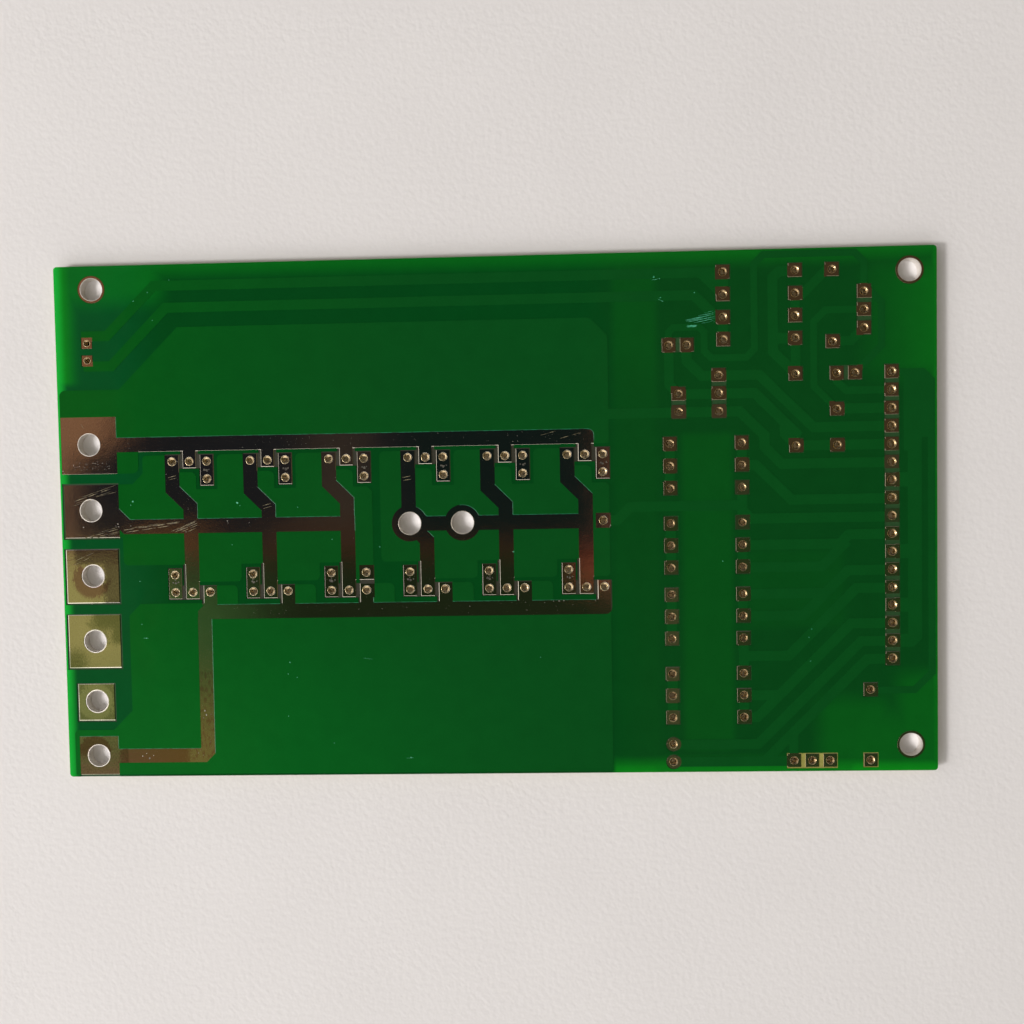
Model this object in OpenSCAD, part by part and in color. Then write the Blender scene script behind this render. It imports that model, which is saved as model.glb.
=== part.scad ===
// Bare power-inverter circuit board, solder side up.
// Glass-epoxy laminate with etched copper on its faces, green solder mask
// over the copper, bare tinned conductors and plated-through holes.
// Millimetres. Origin at the centre of the underside, +X along the long
// edge, +Z out of the solder side.

/* [Board] */
// Length of the board along X
board_w = 125.8; // [125.8:0.1:140]
// Width of the board along Y
board_h = 74.3; // [74.3:0.1:90]
// Thickness of the glass-epoxy laminate without its copper
laminate_t = 1.4; // [0.8:0.1:3.2]
// Radius of the board's corners
corner_r = 0.5; // [0.2:0.1:2]

/* [Layers] */
// Thickness of the copper on each face
copper_t = 0.07; // [0.035:0.005:0.14]
// Thickness of the solder mask over the copper
mask_t = 0.03; // [0.015:0.005:0.06]
// Wall thickness of the plated barrels
plate_t = 0.05; // [0.03:0.01:0.08]

/* [Pads] */
// Side of a square lead pad
pad_s = 1.9; // [1.7:0.05:1.9]
// Side of the mask opening over a lead pad
open_s = 2.15; // [2.0:0.05:2.2]
// Diameter of the two round pads
round_pad_d = 1.95; // [1.7:0.05:2.1]
// Side of the two small pads by the corner
small_pad_s = 1.5; // [1.3:0.05:1.6]

/* [Tracks] */
// Width of a signal track
track_w = 1.45; // [0.8:0.05:1.45]
// Width of a fine track
fine_w = 1.0; // [0.6:0.05:1.1]
// Width of the tinned conductors
bar_w = 2.1; // [1.4:0.05:2.1]

/* [Holes] */
// Finished diameter of the lead holes
lead_d = 1.1; // [0.8:0.05:1.2]
// Finished diameter of the pin header's holes
header_d = 1.2; // [0.8:0.05:1.3]
// Finished diameter of the two small holes by the corner
small_d = 0.9; // [0.6:0.05:1.0]
// Finished diameter of the terminal and busbar screw holes
screw_d = 3.2; // [2.6:0.1:3.4]
// Finished diameter of the mounting holes
mount_d = 3.2; // [2.6:0.1:3.4]

/* [Hidden] */
$fn = 48;

// Heights of the layers above the underside
z_bcu = mask_t;
z_lam = mask_t + copper_t;
z_cu = z_lam + laminate_t;
z_cut = z_cu + copper_t;
z_top = z_cut + mask_t;
film_step = 0.005;

// The layout grid: its zero lies this far outside the lower left corner
grid_x = 0.3;
grid_y = 0.15;
edge_l = grid_x;
edge_r = grid_x + board_w;
edge_b = grid_y;
edge_t = grid_y + board_h;

// Drilled diameters, before plating
lead_bore = lead_d + 2*plate_t;
header_bore = header_d + 2*plate_t;
small_bore = small_d + 2*plate_t;
screw_bore = screw_d + 2*plate_t;
mount_bore = mount_d + 2*plate_t;

// ---------- hole positions on the layout grid ----------
pitch = 2.54;
// Six transistor pairs stand in two rows
function cx(i) = 19.35 + 11.43*i;
top_y = 46.1;
bot_y = 27.1;
top_holes = [for (i = [0:5]) for (j = [-1:1]) [cx(i) + pitch*j, top_y]];
bot_holes = [for (i = [0:5]) for (j = [-1:1]) [cx(i) + pitch*j, bot_y]];
high_gate_2 = [for (i = [0:5]) [cx(i) + pitch, top_y - pitch]];
low_gate_2 = [for (i = [0:5]) [cx(i) - pitch, bot_y + pitch]];
snub_hole = [cx(2) + pitch, bot_y + pitch];
transistor_holes = concat(top_holes, bot_holes, high_gate_2, low_gate_2, [snub_hole]);

// Two columns of twelve resistor holes
res_lx = 88.6;
res_rx = 98.75;
res_y = [for (g = [47.35, 36.0, 25.8, 14.4]) for (k = [0:2]) g - 3.175*k];
res_l = [for (y = res_y) [res_lx, y]];
res_r = [for (y = res_y) [res_rx, y]];

// Pin header, pin 1 at the top
head_x = 119.8;
function pin(k) = [head_x, 56.95 - pitch*(k - 1)];
header_holes = [for (k = [1:17]) pin(k)];

// Parts around the regulator and the driver
sense_x = 96.3;
sense_y = [71.45, 68.3, 65.1, 61.95];
reg_x = 106.4;
reg_y = [71.45, 68.25, 65.1, 61.95, 56.9, 46.75];
trio_x = 116.0;
trio_y = [68.3, 65.75, 63.2];
tri_x = 95.6;
tri_y = [56.95, 54.4, 51.85];
duo_x = 89.9;
duo_y = [54.4, 51.85];
cap_a = [111.55, 71.45];
cap_b = [111.6, 61.35];
dio_a = [112.15, 56.9];
dio_b = [114.7, 56.9];
rs_a = [112.15, 51.85];
rs_b = [112.2, 46.75];
twin_a = [88.6, 61.3];
twin_b = [91.15, 61.3];
sense_pad = [79.0, 36.6];
edge_y = 1.7;
edge_x = [105.8, 108.35, 110.9];
link_a = [116.65, 1.7];
link_b = [116.65, 11.85];
fan_x = 88.6;
fan_y = [4.2, 1.65];
small_x = 4.85;
small_y = [63.4, 60.9];

square_leads = concat(res_l, res_r,
  [for (y = sense_y) [sense_x, y]], [for (y = reg_y) [reg_x, y]],
  [for (y = trio_y) [trio_x, y]], [for (y = tri_y) [tri_x, y]],
  [for (y = duo_y) [duo_x, y]], [for (x = edge_x) [x, edge_y]],
  [cap_a, cap_b, dio_a, dio_b, rs_a, rs_b, twin_a, twin_b, sense_pad, link_a, link_b]);
round_leads = [for (y = fan_y) [fan_x, y]];
small_leads = [for (y = small_y) [small_x, y]];

// Screw terminals down the left edge and the two busbar holes
term_x = 4.7;
term_y = [48.75, 39.2, 29.65, 20.1, 11.25, 3.25];
bus_y = 36.6;
bus_x = [51.2, 58.82];
terminal_holes = concat([for (y = term_y) [term_x, y]], [for (x = bus_x) [x, bus_y]]);
mount_holes = [[5.75, 71.1], [122.35, 71.1], [122.35, 3.9]];

// ---------- plane helpers ----------
// Unit vector from a to b
function unit(a, b) = let (d = [b[0] - a[0], b[1] - a[1]]) d/norm(d);
// A polygon whose corners [x, y, r] are rounded with radius r
function round_corner(a, b, c, r, n) =
  let (u = unit(b, a), v = unit(b, c),
       th = acos(u*v), t = r/tan(th/2),
       m = (u + v)/norm(u + v),
       o = [b[0], b[1]] + m*r/sin(th/2),
       s = [b[0], b[1]] + u*t - o, e = [b[0], b[1]] + v*t - o,
       a0 = atan2(s[1], s[0]), a1 = atan2(e[1], e[0]),
       da = (a1 - a0 > 180) ? a1 - a0 - 360 : (a1 - a0 < -180) ? a1 - a0 + 360 : a1 - a0)
  [for (k = [0:n]) o + r*[cos(a0 + da*k/n), sin(a0 + da*k/n)]];
function rp(p, n = 4) =
  [for (i = [0:len(p) - 1])
    let (a = p[(i + len(p) - 1)%len(p)], b = p[i], c = p[(i + 1)%len(p)])
    each (len(b) < 3 || b[2] == 0 ? [[b[0], b[1]]] : round_corner(a, b, c, b[2], n))];
// A track of width w along the points p, mitred at its bends
function nrm(a, b) = let (u = unit(a, b)) [-u[1], u[0]];
function mitre(p, i) =
  i == 0 ? nrm(p[0], p[1])
  : i == len(p) - 1 ? nrm(p[i - 1], p[i])
  : let (a = nrm(p[i - 1], p[i]), b = nrm(p[i], p[i + 1])) (a + b)/(1 + a*b);
function strip(p, w) =
  concat([for (i = [0:len(p) - 1]) p[i] + mitre(p, i)*w/2],
         [for (i = [len(p) - 1:-1:0]) p[i] - mitre(p, i)*w/2]);
// The same corners, always anticlockwise
function ccw(p) =
  let (n = len(p), a = [for (i = [0:n - 1]) cross(p[i], p[(i + 1)%n])]*[for (i = [1:n]) 1])
  a > 0 ? p : [for (i = [n - 1:-1:0]) p[i]];

module shape(p, n = 4) polygon(ccw(rp(p, n)));
module track(p, w = track_w) polygon(ccw(strip(p, w)));
module rect(x0, y0, x1, y1) translate([x0, y0]) square([x1 - x0, y1 - y0]);
module squares(p, s) for (q = p) translate(q) square(s, center = true);
module discs(p, d) for (q = p) translate(q) circle(d = d);
module on_board(z, h)
  translate([-grid_x - board_w/2, -grid_y - board_h/2, z]) linear_extrude(h) children();
module front_copper() on_board(z_cu, copper_t) children();
module back_copper() on_board(z_bcu, copper_t) children();

module outline()
  shape([[edge_l, edge_b, corner_r], [edge_r, edge_b, corner_r],
              [edge_r, edge_t, corner_r], [edge_l, edge_t, corner_r]], 6);

// ---------- front copper, one outline per net ----------
// Bar 1, the upper pour and the first terminal
pour_y = 47.6;
module positive_2d() difference() {
  union() {
    shape([[0.6, 44.5], [0.6, 56.65, 0.8], [9.35, 56.65], [18.15, 65.45],
                [77.4, 65.45, 0.5], [79.95, 62.9, 0.5], [79.95, pour_y, 0.4], [11.9, pour_y],
                [11.9, 44.5, 0.9]]);
    for (i = [0:5]) rect(cx(i) - 0.95, top_y - 0.95, cx(i) + 0.95, pour_y + 0.5);
    track([[79, 51.75], [98.5, 51.75], [101.95, 48.3], [101.95, 46.65], [104.4, 44.2], [head_x, 44.2]]);
    squares([[duo_x, duo_y[1]], [tri_x, tri_y[2]], pin(6)], pad_s);
  }
  discs([for (i = [0:5]) [cx(i), top_y]], lead_bore);
  discs([[duo_x, duo_y[1]], [tri_x, tri_y[2]]], lead_bore);
  discs([pin(6)], header_bore);
  discs([[term_x, term_y[0]]], screw_bore);
}

// Heights at which the conductors of each group turn
turn_y = [42.1, 41.8, 42.6, 0, 41.6, 42.6];
low_y = 31.15;
block_y = 28.6;
// Path of a conductor from the upper row to the lower row
function drop(i) = i == 3
  ? [[cx(3) - pitch, top_y], [cx(3) - pitch, bus_y + 0.1], [cx(3), bus_y + 0.1 - pitch], [cx(3), bot_y]]
  : [[cx(i) - pitch, top_y], [cx(i) - pitch, turn_y[i]], [cx(i), turn_y[i] - pitch], [cx(i), bot_y]];
// Clearance around the drain and gate pads of the upper row
module top_cut(i, last)
  shape(concat([[cx(i) - 1.55, 48], [cx(i) - 1.55, 44.55], [cx(i) + 0.95, 44.55, 0.8], [cx(i) + 0.95, 42.05]],
    last ? [[cx(i) + 2.95, 42.05], [cx(i) + 3.65, 41.35], [cx(i) + 5, 41.35], [cx(i) + 5, 48]]
         : [[cx(i) + 4.05, 42.05], [cx(i) + 4.05, 47.05, 0.7], [cx(i) + 5.5, 47.05], [cx(i) + 5.5, 48]]));
// Copper below the pour: the conductor's foot and the block beside it
module feet(i, x1, r)  {
  rect(cx(i) - 0.98, bot_y - 0.98, cx(i) + 0.98, low_y + 0.5);
  shape([[cx(i) + 0.5, low_y + 0.5], [cx(i) + 0.5, block_y], [x1, block_y, r], [x1, low_y + 0.5]]);
}
module left_phase_2d() difference() {
  union() {
    difference() {
      shape([[0.8, 35.25], [0.8, 42.95], [10.95, 42.95], [12.5, 44.5], [12.5, 47.05, 0.6],
                  [45.85, 47.05], [45.85, low_y], [9.3, low_y, 0.7], [9.3, 35.25]]);
      top_cut(0, false);
      top_cut(1, false);
      top_cut(2, true);
    }
    feet(0, cx(1) - 4.18, 0.7);
    feet(1, cx(2) - 4.18, 0.7);
    feet(2, 45.85, 0);
  }
  discs([for (i = [0:2]) [cx(i) - pitch, top_y]], lead_bore);
  discs([for (i = [0:2]) [cx(i), bot_y]], lead_bore);
  discs([snub_hole], lead_bore);
  discs([[term_x, term_y[1]]], screw_bore);
}
module right_phase_2d() difference() {
  union() {
    difference() {
      shape([[47.0, low_y, 0.7], [47.0, 47.05, 0.7], [79.9, 47.05], [79.9, low_y]]);
      top_cut(3, false);
      top_cut(4, false);
      top_cut(5, true);
    }
    feet(3, cx(4) - 4.18, 0.7);
    feet(4, cx(5) - 4.18, 0.7);
    feet(5, 79.9, 0.6);
    squares([sense_pad, [res_rx, res_y[2]], [res_rx, res_y[3]], pin(9)], pad_s);
    track([sense_pad, [81.05, 36.6], [82.9, 38.45], [res_rx, 38.45]]);
    track([[res_rx, res_y[2]], [res_rx, res_y[3]]]);
    track([[res_rx, 36.5], [head_x, 36.5]]);
    shape([[99.4, 37.1], [100.4, 37.1], [99.4, 38.1]]);
  }
  discs([for (i = [3:5]) [cx(i) - pitch, top_y]], lead_bore);
  discs([for (i = [3:5]) [cx(i), bot_y]], lead_bore);
  discs([for (x = bus_x) [x, bus_y]], screw_bore);
  discs([sense_pad, [res_rx, res_y[2]], [res_rx, res_y[3]]], lead_bore);
  discs([pin(9)], header_bore);
}
// Lower bar, the lower pour and the last terminal
module negative_2d() difference() {
  union() {
    shape([[1.25, 0.45], [1.25, 7.05, 0.6], [7.1, 7.05], [9.9, 9.85], [9.9, 23.8], [11.6, 25.5],
                [20.95, 25.5], [20.95, 25.35], [79.95, 25.35], [79.95, 0.45]]);
    for (i = [0:4])
      shape([[cx(i) + pitch - 0.95, 25], [cx(i) + pitch - 0.95, bot_y + 0.95],
                  [cx(i) + 6.6, bot_y + 0.95, 0.7], [cx(i) + 6.6, 25]]);
    rect(cx(5) + pitch - 0.95, 25, 79.95, bot_y + 0.95);
  }
  discs([for (i = [0:5]) [cx(i) + pitch, bot_y]], lead_bore);
  discs([[term_x, term_y[5]]], screw_bore);
}

// Terminal pads that stand alone
module lone_terminal(k, x0, y0, x1, y1) difference() {
  rect(x0, y0, x1, y1);
  discs([[term_x, term_y[k]]], screw_bore);
}

// A gate pad pair, one hole above the other
module pair(q, dy) difference() {
  rect(q[0] - pad_s/2, min(q[1], q[1] + dy) - pad_s/2, q[0] + pad_s/2, max(q[1], q[1] + dy) + pad_s/2);
  discs([q, [q[0], q[1] + dy]], lead_bore);
}

// Three resistor pads joined by a track
module pad_group(y0) difference() {
  union() {
    squares([for (k = [0:2]) [res_lx, y0 - 3.175*k]], pad_s);
    track([[res_lx, y0], [res_lx, y0 - 6.35]]);
  }
  discs([for (k = [0:2]) [res_lx, y0 - 3.175*k]], lead_bore);
}

module outer_sense_2d() difference() {
  union() {
    squares([[small_x, small_y[0]]], small_pad_s);
    squares([[sense_x, sense_y[0]], [sense_x, sense_y[1]]], pad_s);
    track([[4.1, 64.4], [7.85, 64.4], [14.85, 71.4], [sense_x, 71.4]]);
    shape([[92.6, 70.95], [95.6, 67.95], [97.0, 67.95], [97.0, 71.5], [92.6, 71.5]]);
  }
  discs([[small_x, small_y[0]]], small_bore);
  discs([[sense_x, sense_y[0]], [sense_x, sense_y[1]]], lead_bore);
}
module inner_sense_2d() difference() {
  union() {
    squares([[small_x, small_y[1]]], small_pad_s);
    squares([[sense_x, sense_y[2]], [sense_x, sense_y[3]]], pad_s);
    track([[4.3, 60.05], [8.35, 60.05], [16.55, 68.25], [92.2, 68.25], [95.35, 65.1], [sense_x, 65.1]]);
    track([[sense_x, sense_y[2]], [sense_x, sense_y[3]]]);
  }
  discs([[small_x, small_y[1]]], small_bore);
  discs([[sense_x, sense_y[2]], [sense_x, sense_y[3]]], lead_bore);
}
module return_loop_2d() difference() {
  union() {
    track([[88.6, 61.3], [88.6, 63.1], [89.25, 63.75], [92.9, 63.75], [93.6, 63.05], [93.6, 60.35],
           [94.6, 59.35], [99.5, 59.35], [100.65, 60.5], [100.65, 72.4], [101.95, 73.7],
           [114.7, 73.7], [116.0, 72.4], [116.0, 68.3]], fine_w);
    track([[116.0, 68.3], [116.9, 68.2], [118.4, 66.7], [118.4, 60.6], [114.9, 57.1]], fine_w);
    track([[88.6, 61.3], [88.6, 55.7], [89.9, 54.4]], 1.35);
    track([[duo_x, 54.3], [100.6, 54.3], [106.85, 48.05]]);
    shape([[104.1, 51.2], [104.1, 48.15], [105.4, 46.85], [106.4, 46.85], [107.2, 48.3]]);
    track([[reg_x, 46.75], [head_x, 46.75]]);
    squares([twin_a, [trio_x, trio_y[0]], dio_b, [duo_x, duo_y[0]], [tri_x, tri_y[1]],
             [reg_x, reg_y[5]], rs_b, pin(5)], pad_s);
  }
  discs([twin_a, [trio_x, trio_y[0]], dio_b, [duo_x, duo_y[0]], [tri_x, tri_y[1]],
         [reg_x, reg_y[5]], rs_b], lead_bore);
  discs([pin(5)], header_bore);
}
module regulator_feed_2d() difference() {
  union() {
    track([[reg_x, 71.35], [104.2, 71.35], [103.25, 70.4], [103.25, 60.05], [106.4, 56.9]]);
    rect(103.5, 61.15, 106, 62.7);
    rect(105.75, 57, 107.1, 62);
    squares([[reg_x, reg_y[0]], [reg_x, reg_y[3]], [reg_x, reg_y[4]]], pad_s);
  }
  discs([[reg_x, reg_y[0]], [reg_x, reg_y[3]], [reg_x, reg_y[4]]], lead_bore);
}
module regulator_link_2d() difference() {
  union() {
    track([[reg_x, reg_y[1]], [reg_x, reg_y[2]]], 1.3);
    track([[107, 67.6], [110.85, 71.45], [111.5, 71.45]], 1.3);
    squares([[reg_x, reg_y[1]], [reg_x, reg_y[2]], cap_a], pad_s);
  }
  discs([[reg_x, reg_y[1]], [reg_x, reg_y[2]], cap_a], lead_bore);
}
module capacitor_link_2d() difference() {
  union() {
    track([cap_b, [114.15, 61.35], [116.0, 63.2]], 1.3);
    squares([cap_b, [trio_x, trio_y[2]]], pad_s);
  }
  discs([cap_b, [trio_x, trio_y[2]]], lead_bore);
}
module pin_2_2d() difference() {
  union() {
    track([dio_a, [112.15, 55.7], [113.45, 54.4], pin(2)], 1.1);
    squares([dio_a, pin(2)], pad_s);
  }
  discs([dio_a], lead_bore);
  discs([pin(2)], header_bore);
}
module pin_3_2d() difference() {
  union() {
    track([[111.7, 52.3], [108.95, 55.05], [108.95, 64.1], [110.6, 65.75], [trio_x, 65.75]], fine_w);
    track([rs_a, pin(3)]);
    squares([rs_a, [trio_x, trio_y[1]], pin(3)], pad_s);
  }
  discs([rs_a, [trio_x, trio_y[1]]], lead_bore);
  discs([pin(3)], header_bore);
}
module pin_4_2d() difference() {
  union() {
    track([[91.1, 61.3], [91.1, 59.0], [93.25, 56.85], [101.3, 56.85], [108.85, 49.3], pin(4)]);
    squares([twin_b, [tri_x, tri_y[0]], pin(4)], pad_s);
  }
  discs([twin_b, [tri_x, tri_y[0]]], lead_bore);
  discs([pin(4)], header_bore);
}
// A track from a joined pair of the right resistor column to a header pin
module driver_2d(k, ya, yb, p) difference() {
  union() {
    for (q = p) track(q);
    track([[res_rx, ya], [res_rx, yb]]);
    squares([[res_rx, ya], [res_rx, yb], pin(k)], pad_s);
  }
  discs([[res_rx, ya], [res_rx, yb]], lead_bore);
  discs([pin(k)], header_bore);
}
module pin_8_2d() driver_2d(8, res_y[0], res_y[1],
  [[[res_rx, 44.15], [100.65, 44.15], [105.7, 39.1], [head_x, 39.1]]]);
module pin_10_2d() driver_2d(10, res_y[4], res_y[5],
  [[[res_rx, 32.75], [112.4, 32.75], [113.7, 34.05], [head_x, 34.05]],
   [[res_rx, 29.55], [109.9, 29.55], [113.5, 33.15]]]);
module pin_12_2d() driver_2d(12, res_y[6], res_y[7],
  [[[res_rx, 25.75], [110.4, 25.75]],
   [[res_rx, 22.6], [107.2, 22.6], [113.55, 28.95], [head_x, 28.95]]]);
module pin_13_2d() driver_2d(13, res_y[8], res_y[9],
  [[[res_rx, 16.85], [105.15, 16.85], [114.7, 26.4], [head_x, 26.4]]]);
module pin_15_2d() driver_2d(15, res_y[10], res_y[11],
  [[[res_rx, 11.2], [104, 11.2]],
   [[res_rx, 8.05], [100.65, 8.05], [113.95, 21.35], [head_x, 21.35]]]);
module pin_17_2d() difference() {
  union() {
    track([[fan_x, 1.65], [edge_x[0], 1.65]]);
    track([[101.4, 1.45], [116.2, 16.25], [head_x, 16.25]]);
    rect(105.1, 1.7, 106.4, 5.9);
    discs([[fan_x, fan_y[1]]], round_pad_d);
    squares([[edge_x[0], edge_y], pin(17)], pad_s);
  }
  discs([[fan_x, fan_y[1]], [edge_x[0], edge_y]], lead_bore);
  discs([pin(17)], header_bore);
}
// Ground copper around the header's outer side
module ground_2d() difference() {
  union() {
    shape([[121.4, 45.75], [121.4, 57.3], [124.3, 57.3], [125.8, 55.8], [125.8, 47.65],
             [121.95, 47.65], [121.95, 45.75]]);
    rect(120.5, 56.2, 121.6, 57.3);
    shape([[121.95, 47.8], [121.95, 19.8], [119.8, 19.8], [119.8, 17.9], [122.75, 17.9],
             [123.95, 19.1], [123.95, 47.8]]);
    for (k = [7, 11, 14]) rect(120.2, pin(k)[1] - 1.02, 122.2, pin(k)[1] + 1.02);
    track([[125.3, 48], [125.3, 14.2], [122.85, 11.75], [116.7, 11.75]], fine_w);
    track([[fan_x, 4.15], [100.7, 4.15], [115.35, 18.8], [head_x, 18.8]]);
    discs([[fan_x, fan_y[0]]], round_pad_d);
    squares([link_b], pad_s);
    squares([for (k = [1, 7, 11, 14, 16]) pin(k)], pad_s);
  }
  discs([link_b, [fan_x, fan_y[0]]], lead_bore);
  discs([for (k = [1, 7, 11, 14, 16]) pin(k)], header_bore);
}
module edge_pads_2d() difference() {
  squares([[edge_x[1], edge_y], [edge_x[2], edge_y], link_a], pad_s);
  discs([[edge_x[1], edge_y], [edge_x[2], edge_y], link_a], lead_bore);
}
ring_d = 3.9;
module mounting_rings_2d() difference() {
  discs(mount_holes, ring_d);
  discs(mount_holes, mount_bore);
}

module all_front_2d() {
  positive_2d();
  left_phase_2d();
  right_phase_2d();
  negative_2d();
  lone_pads_2d();
  gate_pads_2d();
  for (y = [47.35, 36.0, 25.8, 14.4]) pad_group(y);
  outer_sense_2d();
  inner_sense_2d();
  return_loop_2d();
  regulator_feed_2d();
  regulator_link_2d();
  capacitor_link_2d();
  pin_2_2d();
  pin_3_2d();
  pin_4_2d();
  pin_8_2d();
  pin_10_2d();
  pin_12_2d();
  pin_13_2d();
  pin_15_2d();
  pin_17_2d();
  ground_2d();
}
module lone_pads_2d() {
  lone_terminal(2, 0.8, 25.7, 8.55, 33.55);
  lone_terminal(3, 0.8, 16.2, 8.5, 24.0);
  lone_terminal(4, 1.95, 8.45, 7.3, 13.85);
}
module gate_pads_2d() {
  for (i = [0:5]) pair([cx(i) + pitch, top_y], -pitch);
  for (i = [0:5]) pair([cx(i) - pitch, bot_y], pitch);
}

// ---------- openings in the front mask ----------
bar_y = [47.6, 49.75];
module open_group(i) {
  // Upper row: three pads, the stub to the bar and the gate pair
  rect(cx(i) - 3.6, 45.05, cx(i) + 3.6, 47.15);
  rect(cx(i) - 1.3, 45.05, cx(i) + 1.3, 47.7);
  rect(cx(i) + 1.45, 42.5, cx(i) + 3.6, 47.1);
  // Lower row
  rect(cx(i) - 3.6, 26.0, cx(i) + 3.55, 28.1);
  rect(cx(i) - 3.6, 26.0, cx(i) - 1.5, 30.65);
  rect(cx(i) - 1.35, 26.0, cx(i) + 0.9, 31.15);
  rect(cx(i) + 1.3, 25.2, cx(i) + 3.55, 28.1);
  // The conductor between the rows
  track(drop(i), bar_w);
}
module openings() {
  // Terminals and bars
  rect(0.6, 44.5, 8.8, 52.75);
  shape([[8.7, bar_y[0]], [77.6, bar_y[0]], [77.85, bar_y[0] + 0.4], [77.85, bar_y[1], 0.9], [8.7, bar_y[1]]]);
  rect(0.55, 35.0, 8.85, 43.15);
  shape([[8.8, 39.5], [10.45, 37.85], [43.3, 37.85], [43.3, 35.7], [9.5, 35.7], [8.8, 36.4]]);
  rect(0.55, 25.45, 8.75, 33.65);
  rect(0.55, 15.95, 8.7, 24.1);
  rect(1.7, 8.2, 7.5, 13.95);
  rect(1.9, edge_b - 0.5, 7.7, 6.15);
  // Busbar holes and their bar
  discs([for (x = bus_x) [x, bus_y]], 5.2);
  rect(bus_x[0], 35.5, 77.55, 37.65);
  shape([[52.2, 39.0], [53.75, 37.6], [52.2, 37.6]]);
  // Lower bar and its drop to the last terminal
  shape([[20.0, 23.15], [20.0, 24.3], [21.0, 25.3], [80.1, 25.3], [80.1, 23.15, 0.9]]);
  rect(79.6, 24.5, 80.1, 28.1);
  track([[21.0, 23.5], [20.95, 3.9], [20.25, 3.2], [7.5, 3.2]], bar_w);
  for (i = [0:5]) open_group(i);
  rect(cx(2) + 1.55, 26, cx(2) + 3.7, 30.7);
  // Lead pads
  squares(square_leads, open_s);
  discs(round_leads, 2.2);
  squares(small_leads, small_pad_s + 0.15);
  rect(head_x - 1.07, pin(17)[1] - 1.1, head_x + 1.07, pin(1)[1] + 1.1);
  rect(trio_x - 1.07, 62.15, trio_x + 1.07, 69.35);
  rect(tri_x - 1.07, 50.8, tri_x + 1.07, 58.0);
  rect(duo_x - 1.07, 50.8, duo_x + 1.07, 55.45);
  rect(111.1, 55.83, 115.75, 57.97);
  rect(87.55, 60.25, 92.2, 62.35);
  rect(104.75, 0.55, 111.95, 2.75);
  // Mounting holes
  discs(mount_holes, ring_d + 0.1);
}

// ---------- back copper and openings ----------
back_sq = [7.6, 7.6, 7.6, 7.6, 5.4, 5.4];
module back_terminals_2d(g = 0) difference() {
  union() {
    for (k = [0:5]) translate([term_x, term_y[k]]) square(back_sq[k] + g, center = true);
    discs([for (x = bus_x) [x, bus_y]], 5.2 + g);
    discs(mount_holes, ring_d + g);
  }
  discs(terminal_holes, screw_bore);
  discs(mount_holes, mount_bore);
}
module back_transistors_2d() difference() {
  squares(transistor_holes, pad_s);
  discs(transistor_holes, lead_bore);
}
module back_header_2d() difference() {
  squares(header_holes, pad_s);
  discs(header_holes, header_bore);
}
module back_leads_2d() difference() {
  union() {
    squares(square_leads, pad_s);
    discs(round_leads, round_pad_d);
    squares(small_leads, small_pad_s);
  }
  discs(square_leads, lead_bore);
  discs(round_leads, lead_bore);
  discs(small_leads, small_bore);
}
module back_openings() {
  for (k = [0:4]) translate([term_x, term_y[k]]) square(back_sq[k] + 0.3, center = true);
  rect(term_x - 2.85, edge_b - 0.5, term_x + 2.85, term_y[5] + 2.85);
  discs([for (x = bus_x) [x, bus_y]], 5.5);
  discs(mount_holes, ring_d + 0.2);
  squares(concat(transistor_holes, square_leads), open_s);
  squares(header_holes, open_s);
  discs(round_leads, 2.2);
  squares(small_leads, small_pad_s + 0.15);
}

module barrels(p, d)
  translate([-grid_x - board_w/2, -grid_y - board_h/2, z_bcu])
    for (q = p) translate([q[0], q[1], 0]) difference() {
      cylinder(d = d + 2*plate_t, h = z_cut - z_bcu);
      translate([0, 0, -1]) cylinder(d = d, h = z_cut + 2);
    }

// ---------- the pieces ----------
module laminate() color([0.62, 0.66, 0.42]) on_board(z_lam, laminate_t) difference() {
  outline();
  discs(transistor_holes, lead_bore);
  discs(square_leads, lead_bore);
  discs(round_leads, lead_bore);
  discs(small_leads, small_bore);
  discs(header_holes, header_bore);
  discs(terminal_holes, screw_bore);
  discs(mount_holes, mount_bore);
}
// The mask follows the copper: it stands one step higher over it
module front_mask() color([0.04, 0.36, 0.09]) difference() {
  union() {
    on_board(z_cu, copper_t + film_step) difference() {
      outline();
      openings();
    }
    on_board(z_cut, mask_t) difference() {
      all_front_2d();
      openings();
    }
  }
  on_board(z_cu - 1, 1 + copper_t) all_front_2d();
}
module rear_mask() color([0.04, 0.36, 0.09]) difference() {
  on_board(0, z_lam) difference() {
    outline();
    back_openings();
  }
}

module positive_bus() color([0.30, 0.17, 0.12]) front_copper() positive_2d();
module left_phase_bus() color([0.28, 0.18, 0.12]) front_copper() left_phase_2d();
module right_phase_bus() color([0.10, 0.07, 0.06]) front_copper() right_phase_2d();
module negative_bus() color([0.33, 0.28, 0.12]) front_copper() negative_2d();
module upper_output_pad() color([0.48, 0.38, 0.20]) front_copper() lone_terminal(2, 0.8, 25.7, 8.55, 33.55);
module lower_output_pad() color([0.55, 0.50, 0.24]) front_copper() lone_terminal(3, 0.8, 16.2, 8.5, 24.0);
module small_output_pad() color([0.47, 0.42, 0.20]) front_copper() lone_terminal(4, 1.95, 8.45, 7.3, 13.85);
module high_side_gate_pads() color([0.30, 0.18, 0.14])
  for (i = [0:5]) front_copper() pair([cx(i) + pitch, top_y], -pitch);
module low_side_gate_pads() color([0.30, 0.18, 0.14])
  for (i = [0:5]) front_copper() pair([cx(i) - pitch, bot_y], pitch);
module gate_resistor_pads() color([0.33, 0.20, 0.14])
  for (y = [47.35, 36.0, 25.8, 14.4]) front_copper() pad_group(y);
module outer_sense_track() color([0.72, 0.45, 0.25]) front_copper() outer_sense_2d();
module inner_sense_track() color([0.72, 0.45, 0.25]) front_copper() inner_sense_2d();
module return_loop_track() color([0.72, 0.45, 0.25]) front_copper() return_loop_2d();
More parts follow.
